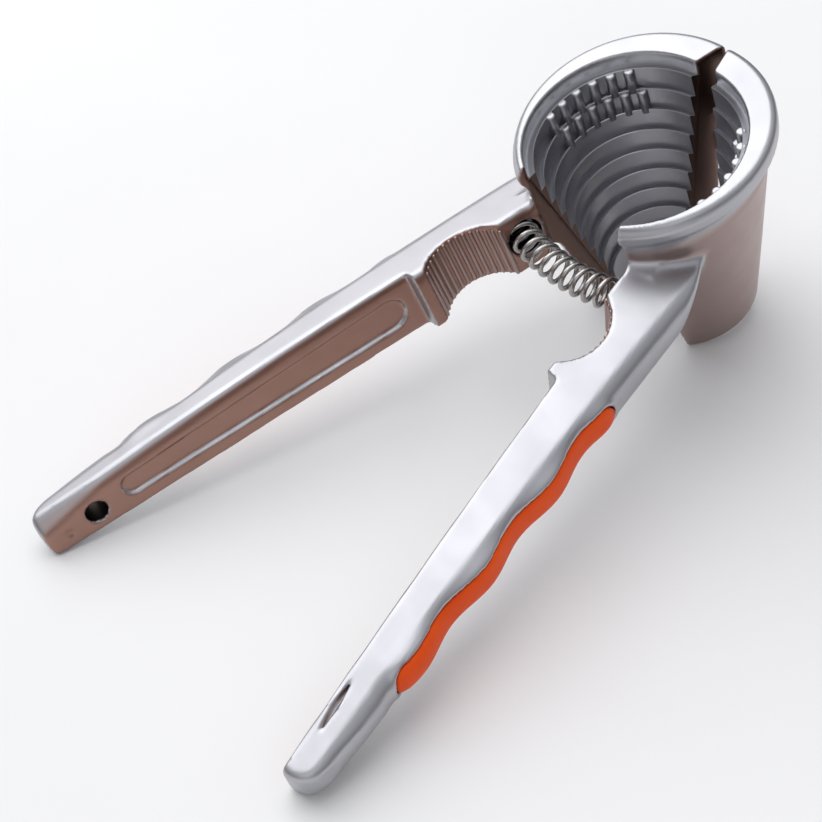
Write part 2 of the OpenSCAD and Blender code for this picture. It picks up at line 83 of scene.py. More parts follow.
# Where the tip begins, eases in and ends
TIP_RUN, TIP_EASE, TIP_OUT, TIP_IN, NOSE_PAST = 20, 14, 1.2, 2.0, 0.35
HOLLOW_REACH, HOLLOW_R, HOLLOW_IN, RIBS, RIB_R = 65.7, 10.3, 6.2, 14, 0.5
LEAN, SHOULDER, PAD_END, PAD_RISE, FACE_BACK, TIP_BACK = 11.5, 48.2, 77.3, 1.4, 1.0, -1.4
POCKET_FROM, POCKET_TO, POCKET_HALF_A, POCKET_HALF_B, POCKET_DEEP = 81.0, 148.0, 3.5, 2.3, 0.9
HOLE_REACH, HOLE_Z, HOLE_R = 154.6, 38.5, 2.3
DIMPLE_REACH, DIMPLE_R, DIMPLE_OUT, DIMPLE_LOW = 161.2, 1.5, 1.1, 0.6
NICK_HALF, NICK_WIDE, NICK_BEFORE, NICK_IN, NICK_DEEP = 4.75, 0.42, 10.2, 1.6, 1.1
# Grip
GRIP_FROM, GRIP_TO, GRIP_HALF, GRIP_DEEP, DROP_A, DROP_B = 31.0, 98.8, 3.6, 3.2, 1.0, 0.3
WAVE, WAVE_LENGTH, WAVE_HOLLOW, WAVE_ABOVE, WAVE_FADE = 0.75, 20.65, 41.1, 2, 1.8
BEAD, BEAD_AT, BEAD_HALF = 0.22, 0.6, 0.5
GRIP_STATIONS, GRIP_ACROSS, GRIP_GAP = 150, 26, 0.28
# Spring
SPRING_REACH, SPRING_Z, COIL_R, WIRE_R, TURNS, SEAT_DEEP, SEAT_R = 52.8, 35.8, 3.0, 0.55, 13, 7.0, 3.85
SEAT_REACH = SPRING_REACH - SEAT_DEEP * SEAT_DEEP / SPRING_REACH / 4
# Size of the cells that the levers are meshed with, and points along each strip of the lining
CELL, STRIP = 0.42, 81
# Painted light on the casting: painted warm reflection on the funnel wall and ribs, painted shade on the
# parting faces
WALL_REFLECTION_PAINT, RIB_REFLECTION_PAINT, CUT_SHADE_PAINT = 0.65, 0.7, 0.62

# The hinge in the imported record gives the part's resting tilt and place
hinge = frame["joints"][0]
TILT = math.atan2(-hinge["axis"][1], hinge["axis"][2])
SHIFT_Y = hinge["pos_m"][1] * 1000 - (PIVOT_Y * math.cos(TILT) - 35 * math.sin(TILT))
SHIFT_Z = hinge["pos_m"][2] * 1000 - (PIVOT_Y * math.sin(TILT) + 35 * math.cos(TILT))
TURN = math.radians(OPEN)
TAPER = math.atan(LOSS)
LEAN_TAN, LEAN_COS, LEAN_SIN = (f(math.radians(LEAN)) for f in (math.tan, math.cos, math.sin))
CUT = math.radians(CUT_ANGLE)


def turn_about_x(p):
    x, y, z = np.moveaxis(np.asarray(p, float), -1, 0)
    c, s = math.cos(TILT), math.sin(TILT)
    return np.stack([x, y * c - z * s, y * s + z * c], -1)


def lay(p):
    """Millimetres in the funnel's frame to metres in the part's frame."""
    return (turn_about_x(p) + np.array([0, SHIFT_Y, SHIFT_Z])) / 1000


def from_handle(u, s, z, side):
    """Handle frame to funnel frame: u across the handle, s from the hinge, side -1 for the left lever."""
    x = u * math.cos(TURN) + s * math.sin(TURN)
    y = PIVOT_Y + u * math.sin(TURN) - s * math.cos(TURN)
    return np.stack(np.broadcast_arrays(side * x, y, z), -1)


# Fields: negative inside the metal, about a distance in millimetres

def smooth_max(a, b, k):
    h = np.maximum(k - np.abs(a - b), 0) / k
    return np.maximum(a, b) + h * h * (k * 0.25)


def smooth_min(a, b, k):
    return -smooth_max(-a, -b, k)


def corner(a, b):
    """Distance past a square corner, for rounded edges."""
    return np.hypot(np.maximum(a, 0), np.maximum(b, 0)) + np.minimum(np.maximum(a, b), 0)


def polygon_field(x, y, points):
    """Signed distance to a closed polygon."""
    best = np.full(np.broadcast(x, y).shape, 1e9, np.float32)
    sign = np.ones_like(best)
    for (ax, ay), (bx, by) in zip(points, points[-1:] + points[:-1]):
        ex, ey = bx - ax, by - ay
        wx, wy = x - ax, y - ay
        f = np.clip((wx * ex + wy * ey) / (ex * ex + ey * ey), 0, 1)
        best = np.minimum(best, (wx - ex * f) ** 2 + (wy - ey * f) ** 2)
        above, below = y >= ay, y < by
        left = ex * wy > ey * wx
        flip = (above & below & left) | (~above & ~below & ~left)
        sign = np.where(flip, -sign, sign)
    return sign * np.sqrt(best)


def capsule(x, y, a, b, ra, rb):
    """Distance to a slot with round ends of two radii."""
    ex, ey = b[0] - a[0], b[1] - a[1]
    f = np.clip(((x - a[0]) * ex + (y - a[1]) * ey) / (ex * ex + ey * ey), 0, 1)
    return np.hypot(x - a[0] - f * ex, y - a[1] - f * ey) - (ra + (rb - ra) * f)


def crown(t):
    return CROWN_TOP - CROWN_R + np.sqrt(CROWN_R ** 2 - (t + ROOT - CROWN_REACH) ** 2)


def under(t):
    return UNDER_ROOT + UNDER_RISE * t


def middle(t):
    return (crown(t) + under(t)) / 2


def wave(t):
    """Waves along the grip, from -1 in a hollow to 1 on a crest, fading at both ends."""
    fade = np.clip((t - GRIP_FROM) / 7, 0, 1) * np.clip((GRIP_TO + 4 - t) / 6, 0, 1)
    return -np.cos(2 * np.pi * (t - WAVE_HOLLOW) / WAVE_LENGTH) * fade


def grip_middle(t):
    a, b = GRIP_FROM + GRIP_HALF, GRIP_TO - GRIP_HALF
    return middle(a) - DROP_A + (middle(b) - DROP_B - middle(a) + DROP_A) * (t - a) / (b - a)


def grip_slot(t, z):
    """Distance to the outline of the grip, on the handle's outer side."""
    a, b = GRIP_FROM + GRIP_HALF, GRIP_TO - GRIP_HALF
    return capsule(t, z, (a, grip_middle(a)), (b, grip_middle(b)), GRIP_HALF, GRIP_HALF)


def cut_line(s):
    """Cut face of the half funnel, seen in the handle's frame."""
    return CUT_GAP + math.tan(math.radians(CUT_ANGLE - OPEN)) * s


def face_line(s):
    """Inner face of the handle before it leans."""
    notch = SHOULDER - 0.6
    return np.interp(s, [0, notch, SHOULDER, PAD_END, PAD_END + 0.8, REACH + 0.6],
                     [cut_line(0) + 0.3, cut_line(notch) + 0.3, 0, -PAD_RISE, FACE_BACK, TIP_BACK])


def leant_face(s, z):
    return face_line(s) / LEAN_COS + LEAN_TAN * (z - UNDER_ROOT)


def before_lean(u, z):
    """Place across and height of a point before the inner face leans."""
    across = (u - LEAN_TAN * (z - UNDER_ROOT)) * LEAN_COS
    return across, UNDER_ROOT + (z - UNDER_ROOT + across * LEAN_SIN) / LEAN_COS


def with_lean(u, z):
    return u * LEAN_COS + (z - UNDER_ROOT) * LEAN_SIN, UNDER_ROOT + (z - UNDER_ROOT) * LEAN_COS - u * LEAN_SIN


def across_line(u, s):
    """Distance past the handle's outer line, and distance along it from the root."""
    c, n = math.cos(TAPER), math.sin(TAPER)
    return (u - ROOT_W) * c - (ROOT - s) * n, (s - ROOT) * c - (u - ROOT_W) * n


def side_field(e, t, z):
    """Section of the handle's outer half: a flat top that tilts outwards, and rounded edges."""
    u, s = ROOT_W + e * math.cos(TAPER) - t * math.sin(TAPER), ROOT + t
    past = u - TOP_IN + TOP_IN_LOSS * (s - ROOT)
    tilted = (z - crown(t)) * math.cos(TOP_TILT) + past * math.sin(TOP_TILT)
    upper = corner(e + EDGE, tilted + EDGE) - EDGE
    lower = corner(e + UNDER_EDGE, under(t) - z + UNDER_EDGE) - UNDER_EDGE
    return smooth_max(upper, lower, 1.2)


def bar_field(u, s, z):
    """The handle without its inner face and tip. Its side waves beside the grip, with a bead around it."""
    e, t = across_line(u, s)
    calm = np.clip((grip_middle(t) + GRIP_HALF + WAVE_ABOVE - z) / WAVE_FADE, 0, 1)
    bead = BEAD * np.exp(-((grip_slot(t, z) - BEAD_AT) / BEAD_HALF) ** 2)
    e = e - WAVE * wave(t) * calm * calm * (3 - 2 * calm) - bead
    slope = (ROOT_W - LOSS * (NECK_REACH - ROOT) + NECK_OUT - NECK_W) / (NECK_REACH - ROOT + BURIED)
    line = (NECK_W + (s - ROOT + BURIED) * slope) * LEAN_COS
    neck = (u - line - NECK_LEAN * (z - UNDER_ROOT)) * NECK_EVEN
    return smooth_max(side_field(e, t, z), neck, 1.6)


def worn_edge(u, s, z):
    """The inner face's upper edge, broken more and more towards the tip."""
    h = np.interp(s, WORN_AT, WORN_BY).astype(np.float32)
    top = crown(s - ROOT)
    across, up = -h, h * (LEAN_TAN + WORN_FLARE)
    return ((u - leant_face(s, top - h)) * across + (z - top + h) * up) / np.hypot(across, up)


def funnel_field(x, y, z):
    """Outside of the half funnel: a wall that widens upwards, a band cut under the lip, and the lip."""
    r = np.hypot(x - HALF_SHIFT, y + FRONT_SHIFT)
    level = np.abs(z - RIM_Z + LIP_H / 2) - LIP_H / 2
    lip = corner(r - RIM_R + LIP_ROUND, level + LIP_ROUND) - LIP_ROUND
    slope = (WALL_R - FOOT_R) / (RIM_Z - LIP_H - 1 - FOOT_Z)
    ahead = np.clip((z - LEAD_FROM) / LEAD_OVER, 0, 1)
    r = np.hypot(x - HALF_SHIFT, y + FRONT_SHIFT + LEAD * ahead) - LEAD_SWELL * ahead
    wall = (r - FOOT_R - slope * (z - FOOT_Z)) / math.hypot(1, slope)
    wall = smooth_max(smooth_max(wall, -z, 0.9), z - RIM_Z + 2, 0.5)
    both = smooth_min(wall, lip, 1.2)
    band = BAND_R - np.hypot(r - WALL_R - BAND_OUT, z - RIM_Z + LIP_H + BAND_OUT)
    return smooth_max(both, band, 0.8)


def step_wall(z):
    """Radius just behind the stepped wall."""
    return np.maximum(LEDGE_R + (z - LEDGE_Z + STEP_Z) * STEP_R / STEP_Z, LEDGE_R - STEP_R * STEPS)


def inner_plane(s, z):
    """The lever's foremost inner face: the cut face at the funnel, the leaning face along the handle."""
    lean, plane = leant_face(s, z), cut_line(s) + 0 * z
    return np.where(s < SHOULDER - 0.6, plane, np.where(s < 54, np.minimum(lean, plane), lean))


def lever_field(left):
    """Field of one lever on a grid in the handle's frame. Both are made as right levers."""
    u = np.arange(-13, 28, CELL, dtype=np.float32)
    s = np.arange(-6, REACH + 2, CELL, dtype=np.float32)
    z = np.arange(-1.2, RIM_Z + 1.4, CELL, dtype=np.float32)
    field = np.full((len(u), len(s), len(z)), 20, np.float32)
    uu, zz = u[:, None, None], z[None, None, :]
    part = lambda a, b: slice(int(np.searchsorted(s, a)), int(np.searchsorted(s, b)))
    high = slice(int(np.searchsorted(z, 20)), None)

    # Handle
    k = part(ROOT - 13, 999)
    bar = smooth_max(bar_field(uu, s[None, k, None], zz[:, :, high]),
                     leant_face(s[None, k, None], zz[:, :, high]) - uu, 0.6)
    if left:
        bar = smooth_max(bar, worn_edge(uu, s[None, k, None], zz[:, :, high]), 0.8)
    field[:, k, high] = np.maximum(bar, ROOT - BURIED - s[None, k, None])

    # Tip, rounded from above and from the side
    k = part(REACH - TIP_RUN, 999)
    sk = s[None, k, None]
    e, _ = across_line(uu, sk)
    ease = np.clip((sk - REACH + TIP_RUN) / TIP_EASE, 0, 1)
    outer = e - TIP_OUT + TIP_IN * ease * ease * (3 - 2 * ease)
    tip = corner(outer + TIP_R, sk - REACH + TIP_R) - TIP_R
    end = sk - REACH + TIP_SIDE_R
    above, below = zz - crown(sk - ROOT) - NOSE_PAST, under(sk - ROOT) - NOSE_PAST - zz
    nose = np.maximum(corner(end, above + TIP_SIDE_R), corner(end, below + TIP_SIDE_R)) - TIP_SIDE_R
    field[:, k] = smooth_max(smooth_max(field[:, k], tip, 1.6), nose, 0.8)

    # Funnel, run into the handle
    k = part(-99, 66)
    sk = s[None, k, None]
    x = uu * math.cos(TURN) + sk * math.sin(TURN)
    y = PIVOT_Y + uu * math.sin(TURN) - sk * math.cos(TURN)
    cup = funnel_field(x, y, zz)
    foot = WEB_FOOT if left else UNDER_ROOT + 3
    front = np.interp(z, WEB_AT, WEB_FRONT).astype(np.float32)
    along = np.maximum(sk - front, ROOT - WEB_BACK - sk)
    level = np.maximum(foot - zz, zz - WEB_TOP)
    web = np.maximum(along, np.maximum(uu - cut_line(sk) - WEB, level))
    cup = smooth_max(smooth_min(cup, web, 2.4), cut_line(sk) - uu, 0.5)
    field[:, k] = smooth_min(field[:, k], cup, 2.6)

    # Nothing stands in front of the inner faces or past the part's width
    sk = s[None, :, None]
    field = np.maximum(field, inner_plane(sk, zz).astype(np.float32) - uu)
    field = np.maximum(field, (uu * math.cos(TURN) + sk * math.sin(TURN) - HALF_SPAN).astype(np.float32))

    # Finger hollow
    k2 = part(52, 80)
    across, height = before_lean(uu, zz)
    hollow = HOLLOW_R - np.hypot(across + HOLLOW_IN, s[None, k2, None] - HOLLOW_REACH)
    field[:, k2] = smooth_max(field[:, k2], hollow, 0.6)

    # Mouth, and the room of the stepped lining
    sk = s[None, k, None]
    r = np.hypot(x - CAVITY_X, y - CAVITY_Y)
    cup = smooth_max(field[:, k], np.where(zz > LEDGE_Z, MOUTH_R, step_wall(zz) + 0.15) - r, 0.5)

    # Hinge knuckles
    levels = (0, 2) if left else (1,)
    pitch = KNUCKLE_H + KNUCKLE_GAP
    axis = np.hypot(x, y - PIVOT_Y)
    for level in range(3):
        centre = KNUCKLE_Z + level * pitch + KNUCKLE_H / 2
        if level not in levels:
            level_gap = np.abs(zz - centre) - KNUCKLE_H / 2 - KNUCKLE_GAP
            room = np.maximum(axis - KNUCKLE_R - KNUCKLE_RELIEF, level_gap)
            cup = smooth_max(cup, -room, 0.3)
    for level in levels:
        centre = KNUCKLE_Z + level * pitch + KNUCKLE_H / 2
        side = 22.0 + level
        plan = [(0, PIVOT_Y), (KNUCKLE_R, PIVOT_Y), (11, side - 6), (7, side - 9), (1.5, PIVOT_Y - 6)]
        web = polygon_field(x, y, plan)
        web = np.maximum(web, cut_line(sk) - uu)
        ear = smooth_max(smooth_min(axis - KNUCKLE_R, web, 1.0), np.abs(zz - centre) - KNUCKLE_H / 2, 0.5)
        cup = smooth_min(cup, ear, 0.5)
    cup = smooth_max(cup, -np.maximum(axis - PIN_R - 0.02, zz - KNUCKLE_Z - 18), 0.25)

    # Seat of the spring
    seat = np.maximum(np.hypot(sk - SEAT_REACH, zz - SPRING_Z) - SEAT_R, uu - SEAT_DEEP)
    cup = smooth_max(cup, -seat, 0.4)
    field[:, k] = cup

    # Seat of the grip and the long pocket of the inner face
    k = part(70, 152)
    sk = s[None, k, None]
    e, t = across_line(uu, sk)
    field[:, k] = smooth_max(field[:, k], -np.maximum(grip_slot(t, zz), -GRIP_DEEP - e), 0.5)
    a, b = POCKET_FROM + POCKET_HALF_A, POCKET_TO - POCKET_HALF_B
    slot = capsule(sk, height, (a, middle(a - ROOT)), (b, middle(b - ROOT)), POCKET_HALF_A, POCKET_HALF_B)
    floor = across - face_line(sk) - POCKET_DEEP
    field[:, k] = smooth_max(field[:, k], -smooth_max(slot, floor, 0.6), 0.5)

    # What only one of the levers has: the hanging hole and a dimple, or a nick in the top
    k = part(140, 999)
    sk = s[None, k, None]
    if left:
        hole = HOLE_R - np.hypot(sk - HOLE_REACH, zz - HOLE_Z)
        deep = across - face_line(DIMPLE_REACH) + DIMPLE_OUT
        ball = DIMPLE_R - np.sqrt(deep ** 2 + (sk - DIMPLE_REACH) ** 2 + (height - HOLE_Z + DIMPLE_LOW) ** 2)
        field[:, k] = smooth_max(smooth_max(field[:, k], hole, 0.6), ball, 0.3)
    else:
        big = (NICK_HALF ** 2 + NICK_WIDE ** 2) / (2 * NICK_WIDE)
        mid = REACH - NICK_BEFORE - NICK_HALF
        away = across - face_line(mid) - NICK_IN
        arcs = np.hypot(away - big + NICK_WIDE, sk - mid), np.hypot(away + big - NICK_WIDE, sk - mid)
        lens = np.maximum(*arcs) - big
        wedge = np.maximum(lens, crown(np.float32(mid - ROOT)) - NICK_DEEP - height)
        field[:, k] = smooth_max(field[:, k], -wedge, 0.3)
    return field, u, s, z


def surface_nets(d):
    """Quads on the zero surface of a grid, one point in each cell that the surface crosses."""
    inside = d < 0
    n = np.array(d.shape)
    offs = np.array([(i, j, k) for i in (0, 1) for j in (0, 1) for k in (0, 1)])
    view = lambda o: tuple(slice(o[a], n[a] - 1 + o[a]) for a in range(3))
    count = sum(inside[view(o)].astype(np.int8) for o in offs)
    active = (count > 0) & (count < 8)
    cells = np.argwhere(active)
    index = np.full(active.shape, -1, np.int32)
    index[active] = np.arange(len(cells))
    value = [d[tuple((cells + o).T)].astype(float) for o in offs]
    total, hits = np.zeros((len(cells), 3)), np.zeros(len(cells))
    for a in range(8):
        for b in range(a + 1, 8):
            if np.abs(offs[a] - offs[b]).sum() != 1:
                continue
            cross = (value[a] < 0) != (value[b] < 0)
            f = value[a][cross] / (value[a][cross] - value[b][cross])
            total[cross] += offs[a] + f[:, None] * (offs[b] - offs[a])
            hits += cross
    points = cells + total / hits[:, None]
    quads = []
    for axis in range(3):
        p, q = (axis + 1) % 3, (axis + 2) % 3
        low = [slice(None)] * 3
        low[axis] = slice(0, -1)
        up = [slice(None)] * 3
        up[axis] = slice(1, None)
        first, second = inside[tuple(low)], inside[tuple(up)]
        at = np.argwhere(first != second)
        at = at[(at[:, p] > 0) & (at[:, q] > 0) & (at[:, p] < n[p] - 1) & (at[:, q] < n[q] - 1)]
        ep, eq = np.eye(3, dtype=int)[p], np.eye(3, dtype=int)[q]
        ring = np.stack([index[tuple((at - o).T)] for o in (ep + eq, eq, 0 * ep, ep)], 1)
        out = first[tuple(at.T)]
        ring[~out] = ring[~out][:, ::-1]
        quads.append(ring)
    return points, np.concatenate(quads)


def mesh_object(name, points, faces):
    mesh = bpy.data.meshes.new(name)
    mesh.from_pydata(np.asarray(points).tolist(), [], [list(map(int, f)) for f in faces])
    mesh.update()
    mesh.polygons.foreach_set("use_smooth", [True] * len(mesh.polygons))
    obj = bpy.data.objects.new(name, mesh)
    bpy.context.scene.collection.objects.link(obj)
    return obj


def ring_tube(rings):
    """Points and faces of a tube through equal rings, of shape (count, points, 3), closed at both ends."""
    count, n, _ = rings.shape
    faces = []
    for i in range(count - 1):
        for k in range(n):
            a, b = i * n + k, i * n + (k + 1) % n
            faces.append((a, b, b + n, a + n))
    faces.append(tuple(range(n - 1, -1, -1)))
    faces.append(tuple((count - 1) * n + k for k in range(n)))
    return rings.reshape(-1, 3), faces


def lining():
    """Stepped lining of the half funnel: strips between its profile's corners, closed by the cut face."""
    profile = [(MOUTH_R + 0.3, LEDGE_Z - 0.13)]
    for i in range(STEPS + 1):
        wall, top = LEDGE_R - STEP_R * i, LEDGE_Z - STEP_Z * i + RIDGE
        foot = top - RIDGE - STEP_Z if i < STEPS else 0.4
        profile += [(wall + 0.14, top), (wall, top - 0.14), (wall, foot)]
    profile += [(step_wall(z) + 0.3, z) for z in (0.4, 4.4, 44.4, 49.0)]
    profile = np.array(profile)
    away = CAVITY_X * math.cos(CUT) + (CAVITY_Y - PIVOT_Y) * math.sin(CUT)
    half = np.arccos((CUT_GAP - 0.03 - away) / profile[:, 0])
    angle = CUT + half[:, None] * np.linspace(-1, 1, STRIP)[None, :]
    rings = np.stack([CAVITY_X + profile[:, :1] * np.cos(angle), CAVITY_Y + profile[:, :1] * np.sin(angle),
                      np.broadcast_to(profile[:, 1:], angle.shape)], -1)
    points, faces = [], []
    for a, b in zip(rings, np.roll(rings, -1, 0)):
        start = len(points) * STRIP
        points += [a, b]
        faces += [(j, j + 1, j + 1 + STRIP, j + STRIP) for j in range(start, start + STRIP - 1)]
    start = len(points) * STRIP
    points = np.concatenate(points + [rings[:, 0], rings[:, -1]])
    n = len(rings)
    caps = [tuple(range(start, start + n)), tuple(range(start + 2 * n - 1, start + n - 1, -1))]
    return points, faces + caps


def tooth(row, i):
    """One tooth of the stepped wall, rounded at its top."""
    reach = LEDGE_R - STEP_R * row - 0.15
    a = math.radians(TOOTH_FIRST + TOOTH_TURN * (i + row * 0.5))
    x, y = CAVITY_X + reach * math.cos(a), CAVITY_Y + reach * math.sin(a)
    low, top = LEDGE_Z - STEP_Z * (row + 1) - 0.3, LEDGE_Z - STEP_Z * row + 0.6
    turn = np.linspace(0, 2 * np.pi, 24, endpoint=False)
    rings = []
    for less, z in ((0, low), (0, top - 0.5), (0.08, top - 0.25), (0.3, top - 0.05), (0.6, top)):
        r = TOOTH_R - less
        rings.append(np.stack([x + r * np.cos(turn), y + r * np.sin(turn), np.full(24, z)], -1))
    return ring_tube(np.array(rings))


def rib(i):
    """One rib of the finger hollow, in the handle's frame."""
    a = math.radians((i - (RIBS - 1) / 2) * 110 / (RIBS - 1))
    r = HOLLOW_R + 0.12
    u, s = -HOLLOW_IN + r * math.cos(a), HOLLOW_REACH + r * math.sin(a)
    low, top = under(s - ROOT) + 0.35, crown(s - ROOT) - 1.3
    turn = np.linspace(0, 2 * np.pi, 16, endpoint=False)
    rings = []
    ends = ((low, 0.5), (low + 0.15, 0.8), (low + 0.45, 1), (top - 0.45, 1), (top - 0.15, 0.8), (top, 0.5))
    for z, r in ends:
        before = UNDER_ROOT + (z - UNDER_ROOT + u * LEAN_SIN) / LEAN_COS
        uu, zz = with_lean(u + RIB_R * r * np.cos(turn), before)
        rings.append(np.stack([uu, s + RIB_R * r * np.sin(turn), zz], -1))
    return ring_tube(np.array(rings))


# Materials

def node_material(name):
    mat = bpy.data.materials.new(name)
    mat.use_nodes = True
    return mat, mat.node_tree.nodes, mat.node_tree.links, mat.node_tree.nodes["Principled BSDF"]


def noise(nodes, links, coords, scale, detail):
    tex = nodes.new("ShaderNodeTexNoise")
    tex.inputs["Scale"].default_value = scale
    tex.inputs["Detail"].default_value = detail
    links.new(coords, tex.inputs["Vector"])
    return tex.outputs["Fac"]


def spread(nodes, links, value, low, high):
    node = nodes.new("ShaderNodeMapRange")
    for key, v in (("From Min", 0.3), ("From Max", 0.7), ("To Min", low), ("To Max", high)):
        node.inputs[key].default_value = v
    links.new(value, node.inputs["Value"])
    return node.outputs["Result"]


def tinted(nodes, links, value, dark, light):
    ramp = nodes.new("ShaderNodeValToRGB")
    ramp.color_ramp.elements[0].position = 0.3
    ramp.color_ramp.elements[0].color = (*dark, 1)
    ramp.color_ramp.elements[1].position = 0.7
    ramp.color_ramp.elements[1].color = (*light, 1)
    links.new(value, ramp.inputs["Fac"])
    return ramp.outputs["Color"]


def bumped(nodes, links, shader, value, strength, distance):
    bump = nodes.new("ShaderNodeBump")
    bump.inputs["Strength"].default_value = strength
    bump.inputs["Distance"].default_value = distance
    links.new(value, bump.inputs["Height"])
    links.new(bump.outputs["Normal"], shader.inputs["Normal"])


def metal(name, dark, light, rough, grain, strength, painted_tints=()):
    """Satin metal. Each tint is a value on the mesh and the colour it leads to, used to paint light and shade
    into the colour.
    """
    mat, nodes, links, shader = node_material(name)
    coords = nodes.new("ShaderNodeTexCoord").outputs["Object"]
    shader.inputs["Metallic"].default_value = 1.0
    colour = tinted(nodes, links, noise(nodes, links, coords, 45, 2), dark, light)
    for attribute, tint in painted_tints:
        value = nodes.new("ShaderNodeAttribute")
        value.attribute_name = attribute
        mix = nodes.new("ShaderNodeMixRGB")
        links.new(value.outputs["Fac"], mix.inputs["Fac"])
        links.new(colour, mix.inputs["Color1"])
        mix.inputs["Color2"].default_value = (*tint, 1)
        colour = mix.outputs["Color"]
    links.new(colour, shader.inputs["Base Color"])
    blotches = noise(nodes, links, coords, 160, 4)
    links.new(spread(nodes, links, blotches, *rough), shader.inputs["Roughness"])
    bumped(nodes, links, shader, noise(nodes, links, coords, grain, 2), strength, 0.00004)
    return mat


def rubber(name, dark, light):
    mat, nodes, links, shader = node_material(name)
    coords = nodes.new("ShaderNodeTexCoord").outputs["Object"]
    shader.inputs["Specular IOR Level"].default_value = 0.2
    clouds, blotches = noise(nodes, links, coords, 90, 3), noise(nodes, links, coords, 400, 3)
    links.new(tinted(nodes, links, clouds, dark, light), shader.inputs["Base Color"])
    links.new(spread(nodes, links, blotches, 0.46, 0.58), shader.inputs["Roughness"])
    bumped(nodes, links, shader, noise(nodes, links, coords, 2600, 2), 0.25, 0.00005)
    return mat


# The casting's two tints are painted light: a painted warm reflection, and a near black painted shade.
CAST = metal("satin_cast_metal", (0.44, 0.44, 0.465), (0.48, 0.48, 0.505), (0.34, 0.42), 2200, 0.1,
             (("painted_warm_reflection", (0.34, 0.20, 0.16)), ("dark", (0.045, 0.038, 0.035))))
WIRE = metal("spring_steel", (0.40, 0.385, 0.375), (0.48, 0.465, 0.455), (0.2, 0.3), 1800, 0.05)
PIN = metal("pin_steel", (0.42, 0.42, 0.44), (0.48, 0.48, 0.50), (0.26, 0.36), 1800, 0.08)
RUBBER = rubber("orange_rubber", (0.80, 0.075, 0.004), (0.88, 0.095, 0.006))


def painted_tints(at, quads, left):
    """Painted light at each point: painted warm reflection on inner faces and funnel wall, painted shade on
    parting faces, the spring's seat and the hanging hole's bore.
    """
    corners = at[quads]
    flat = np.cross(corners[:, 2] - corners[:, 0], corners[:, 3] - corners[:, 1])
    normal = np.zeros_like(at)
    for k in range(4):
        np.add.at(normal, quads[:, k], flat)
    normal /= np.linalg.norm(normal, axis=1, keepdims=True) + 1e-12
    step = lambda v, a, b: np.clip((v - a) / (b - a), 0, 1)
    u, s, z = at.T
    x, y, _ = from_handle(u, s, z, 1).T
    inward = -normal[:, 0]
    inner = np.where(s > SHOULDER, step(inward, 0.62, 0.85), 0)
    curved = np.abs(np.hypot(before_lean(u, z)[0] + HOLLOW_IN, s - HOLLOW_REACH) - HOLLOW_R) < 0.4
    inner = np.where(curved, step(inward, 0.3, 0.5), inner)
    cut_face = (np.abs(u - inner_plane(s, z)) < 0.3) & (s <= SHOULDER) & (inward > 0.5)
    wall = step(0.7 - np.abs(funnel_field(x, y, z)), 0, 0.4)
    wall = wall * step(46.5 - z, 0, 2) * step(0.6 - normal[:, 2], 0, 0.4)
    wall = np.where(np.hypot(x - CAVITY_X, y - CAVITY_Y) < step_wall(z) + 0.6, 0, wall)
    # Painted warm reflection on the inner faces, the parting faces and the lower funnel wall.
    painted_warm_reflection = np.maximum(np.maximum(inner, cut_face), WALL_REFLECTION_PAINT * wall)
    # Painted shade: near black in the spring's seat and the hanging hole's bore, lighter on the parting
    # faces.
    seat = np.hypot(s - SEAT_REACH, z - SPRING_Z) < SEAT_R + 0.1
    seat = seat & (u < SEAT_DEEP + 0.3) & (u > leant_face(s, z) + 0.3)
    painted_bore_shade = (np.hypot(s - HOLE_REACH, z - HOLE_Z) < HOLE_R + 0.1) & left
    return painted_warm_reflection, np.where(seat | painted_bore_shade, 1, CUT_SHADE_PAINT * cut_face)


# Levers: the casting, the stepped lining, the teeth and the ribs in one mesh
for name, side in (("left", -1), ("right", 1)):
    field, u, s, z = lever_field(side < 0)
    points, quads = surface_nets(field)
    at = np.array([u[0], s[0], z[0]]) + points * CELL
    parts = [(from_handle(*at.T, 1), quads, *painted_tints(at, quads, side < 0))]
    steps, strips = lining()
    # The lining's end caps, on the cut faces, take full painted warm reflection and the parting faces'
    # painted shade.
    ends = np.arange(len(steps)) >= len(steps) - 2 * len(strips[-1])
    parts.append((steps, strips, 1.0 * ends, CUT_SHADE_PAINT * ends))
    parts += [(*tooth(row, i), 0, 0) for row in range(TOOTH_ROWS) for i in range(TEETH)]
    # The ribs take painted warm reflection.
    for i in range(RIBS):
        points, faces = rib(i)
        parts.append((from_handle(*points.T, 1), faces, RIB_REFLECTION_PAINT, 0))
    faces, count = [], 0
    for p, f, *_ in parts:
        faces += [tuple(int(v) + count for v in (face if side > 0 else face[::-1])) for face in f]
        count += len(p)
    points = np.concatenate([p[0] for p in parts]) * (side, 1, 1)
    lever = mesh_object(name + "_casting", lay(points), faces)
    # Both attributes are painted light: painted warm reflection and painted shade.
    for k, attribute in ((2, "painted_warm_reflection"), (3, "dark")):
        values = np.concatenate([np.broadcast_to(p[k], len(p[0])) for p in parts]).astype(np.float32)
        lever.data.attributes.new(attribute, "FLOAT", "POINT").data.foreach_set("value", values)
    lever.data.materials.append(CAST)
    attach(lever, name)
    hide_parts(name + "_lever")


def skin(t, z):
    """Outer face of the handle at a height, found by halving."""
    low, high = np.full_like(z, -9), np.full_like(z, 2)
    for _ in range(30):
        half = (low + high) / 2
        out = side_field(half, t, z) > 0
        low, high = np.where(out, low, half), np.where(out, half, high)
    return (low + high) / 2


